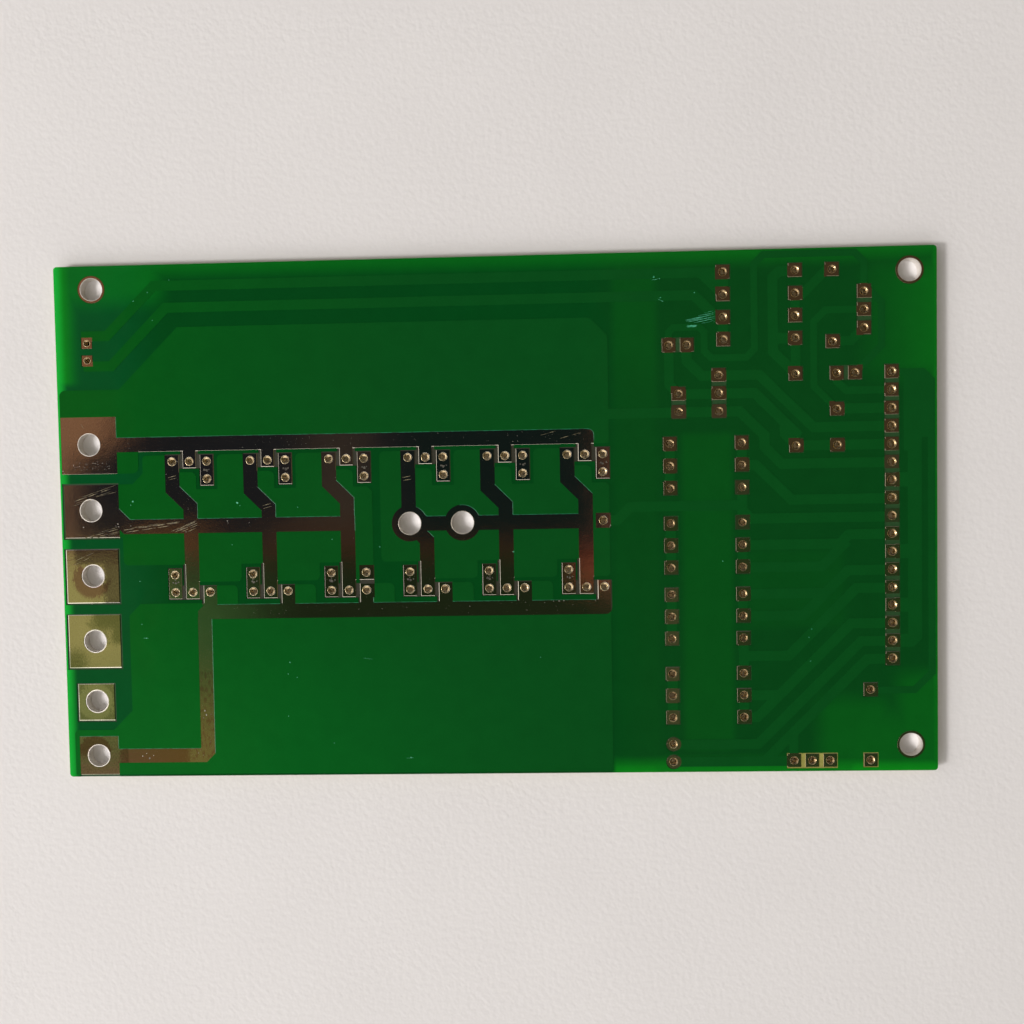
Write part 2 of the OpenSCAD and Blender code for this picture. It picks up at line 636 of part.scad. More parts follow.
module regulator_feed_track() color([0.72, 0.45, 0.25]) front_copper() regulator_feed_2d();
module regulator_link_track() color([0.72, 0.45, 0.25]) front_copper() regulator_link_2d();
module capacitor_link_track() color([0.72, 0.45, 0.25]) front_copper() capacitor_link_2d();
module pin_2_track() color([0.72, 0.45, 0.25]) front_copper() pin_2_2d();
module pin_3_track() color([0.72, 0.45, 0.25]) front_copper() pin_3_2d();
module pin_4_track() color([0.72, 0.45, 0.25]) front_copper() pin_4_2d();
module pin_8_track() color([0.72, 0.45, 0.25]) front_copper() pin_8_2d();
module pin_10_track() color([0.72, 0.45, 0.25]) front_copper() pin_10_2d();
module pin_12_track() color([0.72, 0.45, 0.25]) front_copper() pin_12_2d();
module pin_13_track() color([0.72, 0.45, 0.25]) front_copper() pin_13_2d();
module pin_15_track() color([0.72, 0.45, 0.25]) front_copper() pin_15_2d();
module pin_17_track() color([0.72, 0.45, 0.25]) front_copper() pin_17_2d();
module ground_bus() color([0.72, 0.45, 0.25]) front_copper() ground_2d();
module edge_pads() color([0.45, 0.36, 0.18]) front_copper() edge_pads_2d();
module mounting_rings() color([0.45, 0.30, 0.18]) front_copper() mounting_rings_2d();
module rear_terminal_pads() color([0.72, 0.72, 0.70]) back_copper() back_terminals_2d();
module rear_transistor_pads() color([0.72, 0.72, 0.70]) back_copper() back_transistors_2d();
module rear_header_pads() color([0.72, 0.72, 0.70]) back_copper() back_header_2d();
module rear_lead_pads() color([0.72, 0.72, 0.70]) back_copper() back_leads_2d();
module barrels_terminal() color([0.78, 0.78, 0.76]) barrels(terminal_holes, screw_d);
module barrels_mounting() color([0.78, 0.78, 0.76]) barrels(mount_holes, mount_d);
module barrels_transistor() color([0.78, 0.78, 0.76]) barrels(transistor_holes, lead_d);
module barrels_header() color([0.78, 0.78, 0.76]) barrels(header_holes, header_d);
module barrels_lead() color([0.78, 0.78, 0.76]) {
  barrels(concat(square_leads, round_leads), lead_d);
  barrels(small_leads, small_d);
}

laminate();
front_mask();
rear_mask();
positive_bus();
left_phase_bus();
right_phase_bus();
negative_bus();
upper_output_pad();
lower_output_pad();
small_output_pad();
high_side_gate_pads();
low_side_gate_pads();
gate_resistor_pads();
outer_sense_track();
inner_sense_track();
return_loop_track();
regulator_feed_track();
regulator_link_track();
capacitor_link_track();
pin_2_track();
pin_3_track();
pin_4_track();
pin_8_track();
pin_10_track();
pin_12_track();
pin_13_track();
pin_15_track();
pin_17_track();
ground_bus();
edge_pads();
mounting_rings();
rear_terminal_pads();
rear_transistor_pads();
rear_header_pads();
rear_lead_pads();
barrels_terminal();
barrels_mounting();
barrels_transistor();
barrels_header();
barrels_lead();
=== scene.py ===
import math
import random
import bpy
import bmesh
from mathutils import Matrix, Vector


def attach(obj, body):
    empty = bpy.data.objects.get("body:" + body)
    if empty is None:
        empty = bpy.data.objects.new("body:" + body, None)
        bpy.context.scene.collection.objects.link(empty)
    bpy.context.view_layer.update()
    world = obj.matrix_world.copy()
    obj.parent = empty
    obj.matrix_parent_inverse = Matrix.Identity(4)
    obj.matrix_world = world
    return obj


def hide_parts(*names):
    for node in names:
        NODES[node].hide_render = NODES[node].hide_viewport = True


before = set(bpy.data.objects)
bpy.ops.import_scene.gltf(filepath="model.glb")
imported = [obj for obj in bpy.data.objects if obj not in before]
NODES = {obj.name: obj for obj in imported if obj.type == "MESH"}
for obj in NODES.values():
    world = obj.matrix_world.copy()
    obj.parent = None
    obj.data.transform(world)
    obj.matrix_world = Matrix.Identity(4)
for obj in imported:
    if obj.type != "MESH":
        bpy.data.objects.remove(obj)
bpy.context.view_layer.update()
scene = bpy.context.scene
scene.view_settings.view_transform = "Standard"
scene.view_settings.look = "None"
scene.view_settings.exposure = 0.0
scene.view_settings.gamma = 1.0

# The layout grid of the board is in mm; its zero is the row frame's (-63.2, -37.3).
GX, GY = 63.2, 37.3
TOP = 1.6


def grid(x, y, z=TOP):
    return Vector(((x - GX) / 1000, (y - GY) / 1000, z / 1000))


# ---------------------------------------------------------------- camera
rvec = Vector((0.0363826236, 0.0344054512, -0.0172655912))
R = Matrix.Rotation(rvec.length, 3, rvec.normalized()) @ Matrix.Diagonal((1, -1, -1))
cam_data = bpy.data.cameras.new("view")
cam_data.sensor_width = 36
cam_data.lens = 35.15625
cam_data.clip_start = 0.005
cam_data.clip_end = 20
cam = bpy.data.objects.new("view", cam_data)
scene.collection.objects.link(cam)
rot = R.transposed() @ Matrix.Diagonal((1, -1, -1))
cam.matrix_world = Matrix.Translation(grid(70.93195936, 43.17115189, 143.16626881 + TOP)) @ rot.to_4x4()
scene.camera = cam


# ---------------------------------------------------------------- node helpers
class Net:
    """A short way to write shader nodes."""

    def __init__(self, tree):
        self.t = tree
        tree.nodes.clear()

    def node(self, kind, **props):
        n = self.t.nodes.new(kind)
        for k, v in props.items():
            setattr(n, k, v)
        return n

    def put(self, socket, v):
        if v is None:
            return
        if isinstance(v, bpy.types.NodeSocket):
            self.t.links.new(v, socket)
        elif isinstance(v, (tuple, list)) and len(v) == 3 and socket.type == "RGBA":
            socket.default_value = (*v, 1)
        else:
            socket.default_value = v

    def m(self, op, a, b=None, c=None, clamp=False):
        n = self.node("ShaderNodeMath", operation=op, use_clamp=clamp)
        for i, v in enumerate((a, b, c)):
            if v is not None:
                self.put(n.inputs[i], v)
        return n.outputs[0]

    def add(self, a, b):
        return self.m("ADD", a, b)

    def sub(self, a, b):
        return self.m("SUBTRACT", a, b)

    def mul(self, a, b):
        return self.m("MULTIPLY", a, b)

    def step(self, x, lo, hi):
        """0 below lo, 1 above hi, smooth between; lo may be the larger."""
        n = self.node("ShaderNodeMapRange", interpolation_type="SMOOTHSTEP")
        a, b = (lo, hi) if lo < hi else (hi, lo)
        self.put(n.inputs[0], x)
        n.inputs[1].default_value, n.inputs[2].default_value = a, b
        n.inputs[3].default_value, n.inputs[4].default_value = (0, 1) if lo < hi else (1, 0)
        return n.outputs[0]

    def lerp(self, x, x0, x1, y0, y1):
        n = self.node("ShaderNodeMapRange", interpolation_type="LINEAR")
        self.put(n.inputs[0], x)
        for i, v in enumerate((x0, x1, y0, y1)):
            n.inputs[i + 1].default_value = v
        return n.outputs[0]

    def mix(self, f, a, b, blend="MIX"):
        n = self.node("ShaderNodeMix", data_type="RGBA", blend_type=blend)
        self.put(n.inputs[0], f)
        self.put(n.inputs[6], a)
        self.put(n.inputs[7], b)
        return n.outputs[2]

    def noise(self, vec, scale, detail=2.0, rough=0.5, dist=0.0, dim="3D"):
        n = self.node("ShaderNodeTexNoise", noise_dimensions=dim)
        self.put(n.inputs["Vector"], vec)
        n.inputs["Scale"].default_value = scale
        n.inputs["Detail"].default_value = detail
        n.inputs["Roughness"].default_value = rough
        n.inputs["Distortion"].default_value = dist
        return n.outputs[0]

    def dots(self, vec, scale, size, jitter=1.0):
        """1 in small dots of a jittered pattern."""
        n = self.node("ShaderNodeTexVoronoi", feature="F1")
        self.put(n.inputs["Vector"], vec)
        n.inputs["Scale"].default_value = scale
        n.inputs["Randomness"].default_value = jitter
        return self.step(n.outputs["Distance"], size, size * 0.5)

    def vec(self, x, y, z):
        n = self.node("ShaderNodeCombineXYZ")
        for i, v in enumerate((x, y, z)):
            self.put(n.inputs[i], v)
        return n.outputs[0]

    def at(self):
        """Board position: grid x, grid y and height in mm."""
        c = self.node("ShaderNodeTexCoord").outputs["Object"]
        s = self.node("ShaderNodeVectorMath", operation="MULTIPLY_ADD")
        self.put(s.inputs[0], c)
        s.inputs[1].default_value = (1000, 1000, 1000)
        s.inputs[2].default_value = (GX, GY, 0)
        p = s.outputs[0]
        n = self.node("ShaderNodeSeparateXYZ")
        self.put(n.inputs[0], p)
        return p, n.outputs[0], n.outputs[1], n.outputs[2]

    def area(self, x, y, x0, x1, y0, y1, soft=0.5, sx=None, sy=None):
        """1 inside a rectangle of the grid, fading to 0 over soft mm outside it."""
        sx, sy = sx or soft, sy or soft
        out = None
        for v, a, b, s in ((x, x0, x1, sx), (y, y0, y1, sy)):
            if a is not None:
                e = self.step(v, a - s, a)
                out = e if out is None else self.mul(out, e)
            if b is not None:
                e = self.step(v, b + s, b)
                out = e if out is None else self.mul(out, e)
        return out

    def round(self, x, y, cx, cy, r0, r1):
        """0 inside r0, 1 outside r1 around a point."""
        d = self.m("SQRT", self.add(self.m("POWER", self.sub(x, cx), 2.0), self.m("POWER", self.sub(y, cy), 2.0)))
        return self.step(d, r0, r1), d

    def streaks(self, x, y, angle, along, across, seed=0.0, rough=0.5, detail=2.0):
        """Noise drawn out along a direction of the board."""
        ca, sa = math.cos(math.radians(angle)), math.sin(math.radians(angle))
        u = self.add(self.mul(x, ca), self.mul(y, sa))
        v = self.sub(self.mul(y, ca), self.mul(x, sa))
        return self.noise(self.vec(self.mul(u, 1 / along), self.mul(v, 1 / across), seed), 1.0, detail, rough)

    def bump(self, height, strength, distance):
        n = self.node("ShaderNodeBump")
        n.inputs["Strength"].default_value = strength
        n.inputs["Distance"].default_value = distance
        self.put(n.inputs["Height"], height)
        return n.outputs[0]

    def out(self, base, rough, metal=0.0, normal=None, ior=None, coat=0.0, spec=None):
        b = self.node("ShaderNodeBsdfPrincipled")
        self.put(b.inputs["Base Color"], base)
        self.put(b.inputs["Roughness"], rough)
        b.inputs["Metallic"].default_value = metal
        if ior:
            b.inputs["IOR"].default_value = ior
        if spec is not None:
            b.inputs["Specular IOR Level"].default_value = spec
        b.inputs["Coat Weight"].default_value = coat
        if normal is not None:
            self.put(b.inputs["Normal"], normal)
        o = self.node("ShaderNodeOutputMaterial")
        self.t.links.new(b.outputs[0], o.inputs[0])
        return b


def material(name):
    mat = bpy.data.materials.new(name)
    mat.use_nodes = True
    return mat, Net(mat.node_tree)


def srgb(r, g, b, k=1.0):
    f = lambda c: (c / 255 / 12.92) if c <= 10.3 else ((c / 255 + 0.055) / 1.055) ** 2.4
    return tuple(f(c) * k for c in (r, g, b))


# ---------------------------------------------------------------- solder mask
LIT = 1.0 / 0.87  # base colour over the colour that should show


def mask_material(name, front):
    mat, n = material(name)
    p, x, y, z = n.at()
    over = n.step(z, 1.582, 1.594) if front else n.step(z, 0.5, 0.4)
    # ink over copper: lighter to the left and low down, painted light from the lower left
    left = n.step(x, 62, -6)
    low = n.step(y, 34, -2)
    cu = n.mix(left, srgb(11, 74, 27, LIT), srgb(9, 84, 24, LIT))
    cu = n.mix(n.mul(low, n.step(x, 88, 4)), cu, srgb(10, 93, 30, LIT))
    # ink over bare laminate, dark between tracks; lighter at the far left, painted light near the left border
    gap = n.mix(n.step(x, 76, 86), srgb(6, 67, 24, LIT), srgb(9, 67, 24, LIT))
    gap = n.mix(n.step(x, 17, 9), gap, srgb(7, 75, 34, LIT))
    # light that comes up through the laminate where no copper is near
    glow = n.mul(n.mul(n.step(x, 4.2, 0.2), n.step(y, 56.9, 58.1)), 1.0)
    glow = n.m("MAXIMUM", glow, n.mul(n.area(x, y, None, 14.0, 71.0, None, 4.0), 0.33))
    glow = n.m("MAXIMUM", glow, n.mul(n.step(x, 2.1, 0.3), 0.74))
    glow = n.m("MAXIMUM", glow, n.mul(n.step(y, 71.4, 74.6), 0.36))
    glow = n.m("MAXIMUM", glow, n.mul(n.area(x, y, 119.0, None, 58.8, 70.0, 5.0), n.lerp(x, 119, 126, 0.13, 0.36)))
    glow = n.m("MAXIMUM", glow, n.mul(n.step(x, 124.6, 126.4), 0.55))
    glow = n.m("MAXIMUM", glow, n.mul(n.area(x, y, 115.5, None, None, 6.0, 6.0), 0.22))
    glow = n.m("MAXIMUM", glow, n.mul(n.mul(n.step(y, 3.0, 0.4), n.step(x, 79.6, 80.6)), 0.60))
    glow = n.m("MAXIMUM", glow, n.mul(n.mul(n.step(y, 2.4, 0.4), n.step(x, 111.5, 115.0)), 0.88))
    glow = n.m("MAXIMUM", glow, n.mul(n.mul(n.step(y, 2.4, 0.4), n.mul(n.step(x, 79.6, 80.6), n.step(x, 88.5, 85.5))), 0.75))
    glow = n.m("MAXIMUM", glow, n.mul(n.area(x, y, 122.5, None, None, 12.0, 4.0), 0.25))
    glow = n.m("MAXIMUM", glow, n.mul(n.area(x, y, 81.5, 86.0, None, 72.0, 4.0, sx=1.6), n.lerp(y, 50, 62, 0.03, 0.10)))
    glow = n.m("MAXIMUM", glow, n.mul(n.area(x, y, 91.0, 96.6, 4.0, 48.0, 1.4), 0.10))
    glow = n.m("MAXIMUM", glow, n.mul(n.area(x, y, 111.5, 117.5, 3.0, 8.5, 4.0), 0.20))
    glow = n.m("MAXIMUM", glow, n.mul(n.area(x, y, 99.5, 112.0, 22.0, 31.0, 2.0), 0.05))
    bare = n.mix(glow, gap, srgb(15, 131, 27, LIT))
    # light caught along the left border
    bare = n.mix(n.mul(n.step(x, 1.9, 0.1), 0.95), bare, srgb(26, 174, 60, LIT))
    base = n.mix(over, bare, cu)
    # uneven ink, and the faintest trace of the weave under it
    weave = n.mul(n.m("SINE", n.mul(x, 7.4)), n.m("SINE", n.mul(y, 7.4)))
    mottled = n.noise(p, 0.4, 1.0, 0.6)
    fine = n.noise(p, 4.0, 0.0, 0.6)
    k = n.add(n.add(0.89, n.mul(mottled, 0.14)), n.add(n.mul(fine, 0.08), n.mul(weave, 0.006)))
    base = n.mix(1.0, base, n.vec(k, k, k), "MULTIPLY")
    n.out(base, n.add(0.07, n.mul(mottled, 0.04)), normal=n.bump(mottled, 0.06, 0.0003), spec=0.11)
    return mat


# ---------------------------------------------------------------- tinned metal
def metal_material(name, tint, stained=False, rough0=0.045):
    mat, n = material(name)
    p, x, y, z = n.at()
    cloud = n.noise(p, 0.5, 3.0, 0.6)
    fine = n.noise(p, 5.0, 3.0, 0.7)
    k = n.add(0.80, n.add(n.mul(cloud, 0.12), n.mul(fine, 0.14)))
    base = n.mix(1.0, tint, n.vec(k, k, k), "MULTIPLY")
    if stained:
        speck = n.noise(n.vec(n.mul(x, 2.2), n.mul(y, 0.9), 0.0), 1.0, 4.0, 0.75)
        dither = n.noise(n.vec(n.mul(x, 5.0), n.mul(y, 2.0), 3.0), 1.0, 2.0, 0.6)
        wob = n.add(n.mul(n.sub(speck, 0.5), 1.8), n.mul(n.sub(dither, 0.5), 1.0))
        salt = n.noise(n.vec(n.mul(x, 7.0), n.mul(y, 3.0), 5.0), 1.0, 3.0, 0.8)

        def grit(v):
            return n.step(n.add(v, n.mul(n.sub(salt, 0.5), 1.1)), 0.0, 0.95)

        xw, yw = n.add(x, wob), n.add(y, n.mul(wob, -0.7))
        # purple-brown bloom round the third terminal's hole, with the film worn through in spots
        upper = n.mul(n.area(xw, yw, 6.9, 8.8, 25.4, 33.7, 1.6), 0.80)
        upper = n.m("MAXIMUM", upper, n.mul(n.area(xw, yw, 2.6, 8.8, 31.9, 33.7, 1.2), 0.80))
        base = n.mix(n.mul(grit(upper), 0.85), base, (0.26, 0.23, 0.30), "MULTIPLY")
        e, d = n.round(xw, yw, 4.5, 29.2, 3.3, 2.2)
        gold, d = n.round(xw, yw, 4.9, 30.3, 2.9, 1.9)
        gold = n.mul(gold, n.step(n.add(x, y), 33.6, 34.6))
        bloom = n.mul(e, n.sub(1.0, gold))
        base = n.mix(n.mul(grit(bloom), 0.8), base, (0.50, 0.29, 0.40), "MULTIPLY")
        # the film of the fourth and fifth, worn thin along the rims
        rim = n.mul(n.area(xw, yw, 5.6, 9.0, 22.9, 24.4, 2.6), 0.85)
        rim = n.m("MAXIMUM", rim, n.mul(n.area(xw, yw, 7.9, 9.0, 20.5, 24.4, 1.8), 0.8))
        rim = n.m("MAXIMUM", rim, n.mul(n.area(xw, yw, 0.4, 2.0, 15.8, 17.4, 3.0), 0.75))
        e, d = n.round(xw, yw, 4.4, 20.6, 2.7, 2.1)
        rim = n.m("MAXIMUM", rim, n.mul(n.mul(e, n.step(n.add(x, y), 25.6, 26.4)), 0.5))
        e, d = n.round(xw, yw, 4.5, 11.2, 2.3, 2.9)
        rim = n.m("MAXIMUM", rim, n.mul(n.mul(e, n.step(yw, 14.6, 14.2)), 0.5))
        base = n.mix(n.mul(grit(rim), n.step(x, 9.2, 9.0)), base, (0.42, 0.48, 0.38), "MULTIPLY")
        # rust-brown film on the last terminal and along its track
        e, d = n.round(xw, yw, 4.1, 3.8, 2.7, 2.1)
        rust = n.mul(e, n.step(yw, 2.4, 4.2))
        rust = n.m("MAXIMUM", rust, n.area(xw, yw, 8.6, 17.4, 1.9, 4.4, 1.4))
        base = n.mix(n.mul(grit(rust), 0.9), base, (0.72, 0.48, 0.50), "MULTIPLY")
        # the same film in streaks up the far length of that track
        streak = n.mul(n.area(xw, yw, 18.8, 22.2, 3.0, 15.0, 1.2), n.step(speck, 0.46, 0.62))
        base = n.mix(n.mul(grit(streak), 0.7), base, (0.80, 0.52, 0.62), "MULTIPLY")
        # heat tint low on the sixth conductor
        heat = n.area(x, y, 75.0, 78.2, 27.6, 32.0, 0.9)
        base = n.mix(n.mul(heat, 0.7), base, (0.95, 0.74, 0.66), "MULTIPLY")
    n.out(base, n.add(rough0, n.mul(cloud, 0.03)), metal=1.0, normal=n.bump(n.add(n.mul(cloud, 0.6), n.mul(fine, 0.25)), 0.04, 0.0002))
    return mat


def barrel_material(name, dark, light, rough, bump=0.25):
    mat, n = material(name)
    p, x, y, z = n.at()
    c = n.noise(p, 2.2, 3.0, 0.6)
    n.out(n.mix(c, dark, light), n.add(rough, n.mul(c, 0.15)), metal=1.0, normal=n.bump(c, bump, 0.0003))
    return mat


def laminate_material(name):
    mat, n = material(name)
    p, x, y, z = n.at()
    cloth = n.mul(n.m("SINE", n.mul(n.add(x, y), 5.2)), n.m("SINE", n.mul(n.sub(x, y), 5.2)))
    layers = n.noise(n.vec(n.mul(x, 0.5), n.mul(y, 0.5), n.mul(z, 9.0)), 1.0, 3.0, 0.6)
    f = n.add(n.mul(layers, 0.7), n.add(0.15, n.mul(cloth, 0.06)))
    green = n.mix(f, srgb(24, 60, 26), srgb(38, 78, 38))
    grey = n.mix(f, srgb(38, 40, 28), srgb(58, 56, 44))
    face = n.mix(n.mul(n.step(x, 82, 80), n.step(x, 10, 12)), green, grey)
    # bare strip by the lower border, with light coming through it
    face = n.mix(n.area(x, y, 104.9, 118.0, None, 2.9, 0.5), face, n.mix(f, srgb(128, 128, 58), srgb(172, 168, 92)))
    side = n.mix(f, srgb(112, 116, 70), srgb(168, 164, 112))
    base = n.mix(n.step(z, 1.485, 1.495), side, face)
    n.out(base, n.add(0.55, n.mul(layers, 0.2)), normal=n.bump(layers, 0.3, 0.0003), spec=0.3)
    return mat


def mark_material(name, a, b, rough, scale=3.0, spec=0.5):
    mat, n = material(name)
    p, x, y, z = n.at()
    c = n.noise(p, scale, 3.0, 0.7)
    n.out(n.mix(n.step(c, 0.35, 0.65), a, b), n.add(rough, n.mul(c, 0.2)), normal=n.bump(c, 0.3, 0.0002), spec=spec)
    return mat


M_FRONT = mask_material("front_mask_ink", True)
M_REAR = mask_material("rear_mask_ink", False)
M_BUS = metal_material("tinned_copper", srgb(238, 230, 214), stained=True)
M_PAD = metal_material("tinned_pad", srgb(236, 214, 190), rough0=0.06)
M_HOLE = barrel_material("plated_hole", srgb(228, 222, 214), srgb(248, 246, 242), 0.34, 0.05)
M_LEAD = barrel_material("plated_lead_hole", srgb(228, 202, 150), srgb(250, 236, 194), 0.2)
M_LEG = barrel_material("plated_leg_hole", srgb(236, 214, 170), srgb(252, 242, 210), 0.2)
M_LAM = laminate_material("glass_epoxy")


def dress(obj, mat):
    obj.data.materials.clear()
    obj.data.materials.append(mat)


def adopt(obj, mat):
    scene.collection.objects.link(obj)
    dress(obj, mat)
    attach(obj, "root")


def rounded(node, mat, width, tall=1.6):
    """A finer copy of a flat copper piece whose upper edges slope as solder does."""
    me = NODES[node].data.copy()
    bm = bmesh.new()
    bm.from_mesh(me)
    bmesh.ops.remove_doubles(bm, verts=bm.verts, dist=1e-7)
    bmesh.ops.dissolve_limit(bm, angle_limit=math.radians(1.0), use_dissolve_boundaries=False,
                             verts=bm.verts, edges=bm.edges, delimit=set())
    top = max(v.co.z for v in bm.verts)
    for v in bm.verts:
        v.co.z = top + (v.co.z - top) * tall
    bm.normal_update()
    edges = [e for e in bm.edges if all(v.co.z > top - 1e-6 for v in e.verts)
             and len(e.link_faces) == 2 and abs(e.link_faces[0].normal.z - e.link_faces[1].normal.z) > 0.5
             and (width < 0.03 or sum(v.co.x for v in e.verts) * 500 + GX < 81)]
    bmesh.ops.bevel(bm, geom=edges, offset=width / 1000, segments=1, profile=0.5, affect="EDGES", clamp_overlap=True)
    for v in bm.verts:
        v.co.z = top + (v.co.z - top) / tall
    bmesh.ops.triangulate(bm, faces=[f for f in bm.faces if len(f.verts) > 4])
    bm.to_mesh(me)
    bm.free()
    ob = bpy.data.objects.new(node + "_finished", me)
    adopt(ob, mat)
    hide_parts(node)
    return ob


BUSES = ("positive_bus", "left_phase_bus", "right_phase_bus", "negative_bus",
         "upper_output_pad", "lower_output_pad", "small_output_pad")
for name, obj in NODES.items():
    if name == "front_mask":
        dress(obj, M_FRONT)
    elif name == "rear_mask":
        dress(obj, M_REAR)
    elif name == "laminate":
        dress(obj, M_LAM)
    elif name in ("barrels_terminal", "barrels_mounting"):
        dress(obj, M_HOLE)
    elif name == "barrels_transistor":
        dress(obj, M_LEG)
    elif name.startswith("barrels_"):
        dress(obj, M_LEAD)
    elif name.startswith("rear_"):
        dress(obj, M_PAD)
    elif name in BUSES or name in ("low_side_gate_pads", "high_side_gate_pads"):
        if name.endswith("output_pad"):
            rounded(name, M_BUS, 0.085, 2.3)
        elif name == "positive_bus" or name.endswith("gate_pads"):
            rounded(name, M_BUS, 0.031)
        else:
            rounded(name, M_BUS, 0.075)
    elif name.endswith("_track") or name == "ground_bus":
        rounded(name, M_PAD, 0.012, 1.0)
    else:
        rounded(name, M_PAD, 0.012, 1.0)

# ---------------------------------------------------------------- wear
rng = random.Random(11)


def fleck(bm, x, y, r, z, sides=9):
    """A low, ragged crumb."""
    low, mid = [], []
    for i in range(sides):
        a = math.tau * i / sides
        q = r * rng.uniform(0.55, 1.1)
        low.append(bm.verts.new(grid(x + q * math.cos(a), y + q * math.sin(a), z - 0.003)))
        mid.append(bm.verts.new(grid(x + 0.8 * q * math.cos(a), y + 0.8 * q * math.sin(a), z + 0.010)))
    peak = bm.verts.new(grid(x, y, z + 0.016))
    for i in range(sides):
        j = (i + 1) % sides
        bm.faces.new((low[i], low[j], mid[j], mid[i]))
        bm.faces.new((mid[i], mid[j], peak))
    bm.faces.new(low[::-1])


def scratch(bm, x0, y0, x1, y1, w, z, parts=1):
    """A fine raised burr along a broken line, tapering at each end."""
    length = math.hypot(x1 - x0, y1 - y0)
    ux, uy = (x1 - x0) / length, (y1 - y0) / length
    at = 0.0
    for k in range(parts):
        run = length / parts * rng.uniform(0.7, 0.98)
        steps = 6
        rows = []
        for i in range(steps + 1):
            s = at + run * i / steps
            hw = w / 2 * math.sin(math.pi * min(max(i / steps, 0.06), 0.94)) ** 0.6
            o = rng.uniform(-0.12, 0.12) * w
            cx, cy = x0 + ux * s - uy * o, y0 + uy * s + ux * o
            rows.append((bm.verts.new(grid(cx - uy * hw, cy + ux * hw, z - 0.002)),
                         bm.verts.new(grid(cx, cy, z + 0.008)),
                         bm.verts.new(grid(cx + uy * hw, cy - ux * hw, z - 0.002))))
        for a, b in zip(rows, rows[1:]):
            bm.faces.new((a[0], b[0], b[1], a[1])[::-1])
            bm.faces.new((a[1], b[1], b[2], a[2])[::-1])
            bm.faces.new((a[2], b[2], b[0], a[0])[::-1])
        bm.faces.new(rows[0][::-1])
        bm.faces.new(rows[-1])
        at += length / parts


def wear(name, mat, make):
    bm = bmesh.new()
    make(bm)
    bmesh.ops.recalc_face_normals(bm, faces=bm.faces)
    me = bpy.data.meshes.new(name)
    bm.to_mesh(me)
    bm.free()
    adopt(bpy.data.objects.new(name, me), mat)


def mask_marks(bm):
    for mx, my, r in (
        (86.6, 70.9, 0.20), (87.4, 70.7, 0.12), (87.5, 68.0, 0.16), (92.3, 68.6, 0.12), (10.9, 40.4, 0.20),
        (10.6, 39.9, 0.10), (26.2, 40.0, 0.22), (26.6, 39.6, 0.12), (46.8, 33.3, 0.12), (108.4, 20.6, 0.12),
        (108.0, 19.4, 0.10), (108.2, 16.0, 0.10), (33.3, 16.7, 0.14), (33.0, 15.0, 0.12), (34.3, 14.5, 0.10),
        (39.5, 4.8, 0.12), (50.7, 2.6, 0.14), (69.7, 17.0, 0.10), (95.9, 30.5, 0.10), (11.7, 22.5, 0.12),
        (12.3, 20.5, 0.11), (14.0, 70.5, 0.12), (11.9, 69.3, 0.12), (14.6, 66.5, 0.10), (17.2, 72.2, 0.10),
        (32.9, 8.8, 0.11), (66.1, 32.3, 0.14), (11.6, 28.8, 0.11), (35.0, 39.2, 0.11), (25.3, 33.9, 0.09),
        (39.9, 34.5, 0.11),
    ):
        fleck(bm, mx, my, r * 0.8, 1.600)


def mask_scratches(bm):
    for x0, y0, x1, y1, w, parts in (
        (91.0, 64.75, 95.3, 65.55, 0.09, 1), (91.4, 64.5, 95.3, 65.2, 0.08, 1), (91.2, 63.92, 93.1, 63.98, 0.20, 1),
        (92.2, 64.35, 95.3, 64.95, 0.07, 1), (91.1, 64.62, 94.0, 65.15, 0.07, 1), (93.2, 64.25, 95.3, 64.6, 0.04, 1),
        (92.8, 65.35, 95.3, 65.72, 0.06, 1), (93.9, 65.1, 95.3, 64.35, 0.03, 1), (94.4, 65.5, 95.2, 65.9, 0.03, 1),
        (91.2, 63.8, 92.8, 63.82, 0.12, 1), (93.6, 65.7, 95.2, 66.05, 0.04, 1), (86.3, 70.5, 87.4, 70.65, 0.05, 1),
        (87.2, 67.8, 88.0, 67.4, 0.06, 1), (50.0, 2.5, 51.4, 2.6, 0.05, 1), (11.8, 20.5, 12.9, 20.45, 0.06, 1),
        (44.0, 17.2, 45.5, 17.0, 0.04, 1),
    ):
        scratch(bm, x0, y0, x1, y1, w, 1.600, parts)


